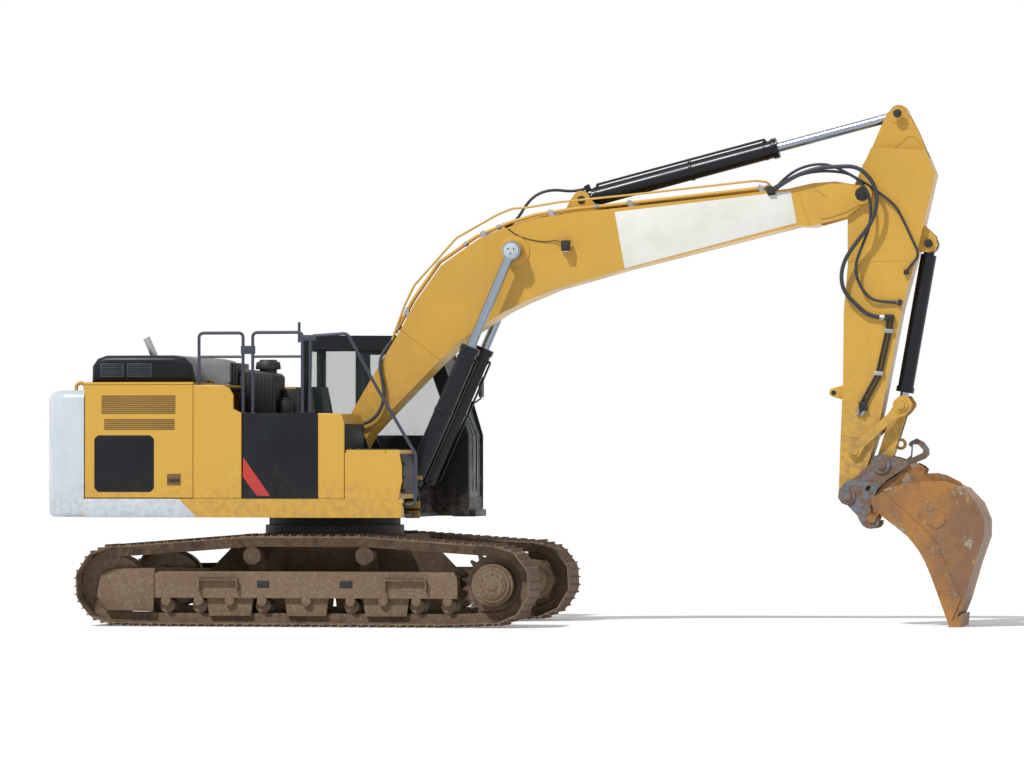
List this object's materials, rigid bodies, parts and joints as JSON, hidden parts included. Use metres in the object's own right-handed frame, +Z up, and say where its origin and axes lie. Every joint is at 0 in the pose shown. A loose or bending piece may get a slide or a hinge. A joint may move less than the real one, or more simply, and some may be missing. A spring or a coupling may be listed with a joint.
{
  "type": "crawler excavator",
  "caption": "Tracked hydraulic excavator with swinging house, boom, stick and curling bucket worked by cylinders, with opening cab door, side doors, hood and tool box.",
  "frame": {"origin": "centre of the machine's footprint box, on the ground under the tracks", "axes": "+X forward along the boom, +Y to the left, +Z up"},
  "size_m": [10.135, 3.29, 5.5314],
  "materials": {
    "black_paint": "satin",
    "black_plastic": "matte",
    "bucket_steel": "rough",
    "chrome": "polished",
    "coupler_paint": "satin",
    "dark_steel": "brushed",
    "grey_paint": "satin",
    "seat_fabric": "matte",
    "track_steel": "rough",
    "worn_steel": "rough",
    "yellow_paint": "satin"
  },
  "bodies": {
    "undercarriage": {"car_body": "yellow_paint", "swing_bearing": "dark_steel", "track_frame_right": "yellow_paint", "track_frame_left": "yellow_paint", "track_right": "track_steel", "track_left": "track_steel", "idlers": "worn_steel", "sprockets": "worn_steel", "final_drives": "yellow_paint", "bottom_rollers": "worn_steel", "carrier_rollers": "worn_steel"},
    "house": {"main_frame": "yellow_paint", "counterweight": "grey_paint", "side_sills": "yellow_paint", "engine_bay_walls": "yellow_paint", "engine_block": "dark_steel", "exhaust": "dark_steel", "pump_panel": "yellow_paint", "hydraulic_tank": "black_paint", "fuel_tank": "yellow_paint", "tool_box": "yellow_paint", "left_panels": "yellow_paint", "valve_bay_cover": "black_paint", "handrails": "black_paint", "cab_frame": "black_paint", "seat": "seat_fabric", "consoles": "black_plastic"},
    "right_rear_door": {"right_rear_door": "yellow_paint"},
    "left_rear_door": {"left_rear_door": "yellow_paint"},
    "engine_hood": {"engine_hood": "black_paint"},
    "tool_box_lid": {"tool_box_lid": "yellow_paint"},
    "cab_door": {"cab_door": "black_paint"},
    "boom": {"boom": "yellow_paint"},
    "stick": {"stick": "yellow_paint"},
    "boom_cylinder_barrel_right": {"boom_cylinder_barrel_right": "yellow_paint"},
    "boom_cylinder_barrel_left": {"boom_cylinder_barrel_left": "yellow_paint"},
    "boom_cylinder_rod_right": {"boom_cylinder_rod_right": "chrome"},
    "boom_cylinder_rod_left": {"boom_cylinder_rod_left": "chrome"},
    "stick_cylinder_barrel": {"stick_cylinder_barrel": "yellow_paint"},
    "stick_cylinder_rod": {"stick_cylinder_rod": "chrome"},
    "bucket_cylinder_barrel": {"bucket_cylinder_barrel": "yellow_paint"},
    "bucket_cylinder_rod": {"bucket_cylinder_rod": "chrome"},
    "rocker_arms": {"rocker_arms": "yellow_paint"},
    "h_link": {"h_link": "yellow_paint"},
    "bucket": {"quick_coupler": "coupler_paint", "bucket": "bucket_steel"}
  },
  "joints": [
    {"name": "swing", "type": "hinge", "parent": "undercarriage", "child": "house", "pos_m": [-1.99764, 0, 1.06], "axis": [0, 0, 1], "continuous": true},
    {"name": "boom_lift", "type": "hinge", "parent": "house", "child": "boom", "pos_m": [-1.79764, 0, 1.94], "axis": [0, -1, 0], "range_deg": [-71.5, 38]},
    {"name": "stick_crowd", "type": "hinge", "parent": "boom", "child": "stick", "pos_m": [3.75787, 0, 4.57795], "axis": [0, 1, 0], "range_deg": [-89.5, 35.9]},
    {"name": "bucket_curl", "type": "hinge", "parent": "stick", "child": "bucket", "pos_m": [3.59364, 0, 1.38017], "axis": [0, -1, 0], "range_deg": [-160, 5.5]},
    {"name": "boom_cylinder_tilt_right", "type": "hinge", "parent": "house", "child": "boom_cylinder_barrel_right", "pos_m": [-1.10764, -0.42, 1.4], "axis": [0, -1, 0], "range_deg": [-72.27, 38.43]},
    {"name": "boom_cylinder_stroke_right", "type": "slide", "parent": "boom_cylinder_barrel_right", "child": "boom_cylinder_rod_right", "axis": [0.3977, 0, 0.9175], "range_m": [-0.95145, 0.5059]},
    {"name": "boom_cylinder_tilt_left", "type": "hinge", "parent": "house", "child": "boom_cylinder_barrel_left", "pos_m": [-1.10764, 0.42, 1.4], "axis": [0, -1, 0], "range_deg": [-72.27, 38.43]},
    {"name": "boom_cylinder_stroke_left", "type": "slide", "parent": "boom_cylinder_barrel_left", "child": "boom_cylinder_rod_left", "axis": [0.3977, 0, 0.9175], "range_m": [-0.95145, 0.5059]},
    {"name": "stick_cylinder_tilt", "type": "hinge", "parent": "boom", "child": "stick_cylinder_barrel", "pos_m": [0.71915, 0, 4.5476], "axis": [0, 1, 0], "range_deg": [-5.39, 2.17]},
    {"name": "stick_cylinder_stroke", "type": "slide", "parent": "stick_cylinder_barrel", "child": "stick_cylinder_rod", "axis": [0.9683, 0, 0.2499], "range_m": [-1.22665, 0.49233]},
    {"name": "bucket_cylinder_tilt", "type": "hinge", "parent": "stick", "child": "bucket_cylinder_barrel", "pos_m": [4.45842, 0, 4.04432], "axis": [0, -1, 0], "range_deg": [-0.13, 3.22]},
    {"name": "bucket_cylinder_stroke", "type": "slide", "parent": "bucket_cylinder_barrel", "child": "bucket_cylinder_rod", "axis": [-0.1733, 0, -0.9849], "range_m": [-0.03955, 1.1365]},
    {"name": "rocker_turn", "type": "hinge", "parent": "stick", "child": "rocker_arms", "pos_m": [3.6633, 0, 1.85922], "axis": [0, -1, 0], "range_deg": [-113.7, 4]},
    {"name": "h_link_turn", "type": "hinge", "parent": "bucket", "child": "h_link", "pos_m": [3.95664, 0, 1.71217], "axis": [0, -1, 0], "range_deg": [-4.26, 121.22]},
    {"name": "right_rear_door_open", "type": "hinge", "parent": "house", "child": "right_rear_door", "pos_m": [-4.38664, -1.481, 1.95], "axis": [0, 0, -1], "range_deg": [0, 100]},
    {"name": "left_rear_door_open", "type": "hinge", "parent": "house", "child": "left_rear_door", "pos_m": [-4.38664, 1.481, 1.95], "axis": [0, 0, 1], "range_deg": [0, 100]},
    {"name": "cab_door_open", "type": "hinge", "parent": "house", "child": "cab_door", "pos_m": [-1.98564, 1.509, 2.1], "axis": [0, 0, 1], "range_deg": [0, 165]},
    {"name": "engine_hood_open", "type": "hinge", "parent": "house", "child": "engine_hood", "pos_m": [-3.24164, 0, 2.604], "axis": [0, 1, 0], "range_deg": [0, 60]},
    {"name": "tool_box_lid_open", "type": "hinge", "parent": "house", "child": "tool_box_lid", "pos_m": [-1.56964, -1.05, 1.874], "axis": [0, -1, 0], "range_deg": [0, 85]}
  ],
  "couplings": [
    {"joint": "boom_cylinder_tilt_right", "follows": "boom_lift", "ratio": 1.01},
    {"joint": "boom_cylinder_stroke_right", "follows": "boom_lift", "m_per_rad": 0.76203},
    {"joint": "boom_cylinder_tilt_left", "follows": "boom_lift", "ratio": 1.01},
    {"joint": "boom_cylinder_stroke_left", "follows": "boom_lift", "m_per_rad": 0.76203},
    {"joint": "stick_cylinder_tilt", "follows": "stick_crowd", "ratio": 0.06},
    {"joint": "stick_cylinder_stroke", "follows": "stick_crowd", "m_per_rad": 0.78495},
    {"joint": "bucket_cylinder_tilt", "follows": "bucket_curl", "ratio": -0.02},
    {"joint": "bucket_cylinder_stroke", "follows": "bucket_curl", "m_per_rad": -0.4068},
    {"joint": "rocker_turn", "follows": "bucket_curl", "ratio": 0.71},
    {"joint": "h_link_turn", "follows": "bucket_curl", "ratio": -0.757}
  ]
}
